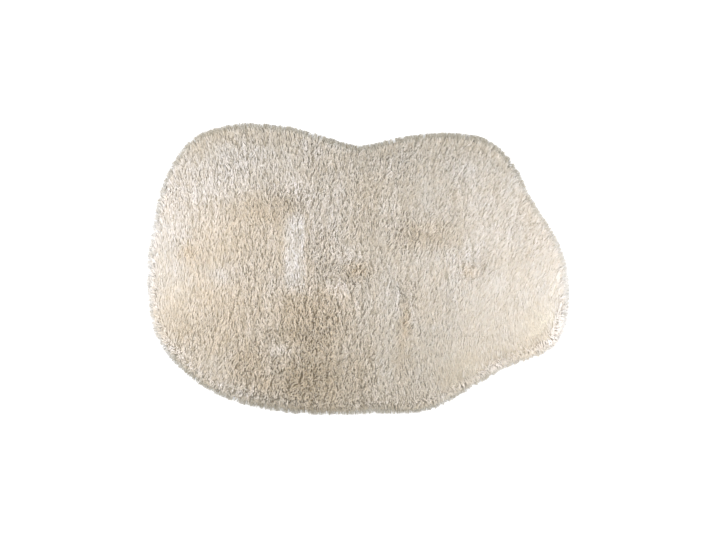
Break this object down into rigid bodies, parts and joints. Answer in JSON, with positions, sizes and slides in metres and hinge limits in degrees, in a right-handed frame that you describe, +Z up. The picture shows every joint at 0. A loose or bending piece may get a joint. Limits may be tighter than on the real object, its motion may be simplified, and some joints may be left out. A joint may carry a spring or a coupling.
{
  "type": "wool rug",
  "caption": "Long-pile wool rug with a free, rounded outline and two shallow bays, lying flat on the floor.",
  "frame": {"origin": "on the floor, under the middle of the rug's box", "axes": "+X along the rug, towards its narrower, pointed end; +Y across it, towards the side with the deeper bay; +Z up, out of the pile"},
  "size_m": [2.3, 1.6, 0.04],
  "materials": {
    "wool_pile": "undyed ivory and beige wool yarn, cut pile lying over in changing directions"
  },
  "bodies": {
    "root": {"shag_rug": "wool_pile"}
  },
  "joints": []
}
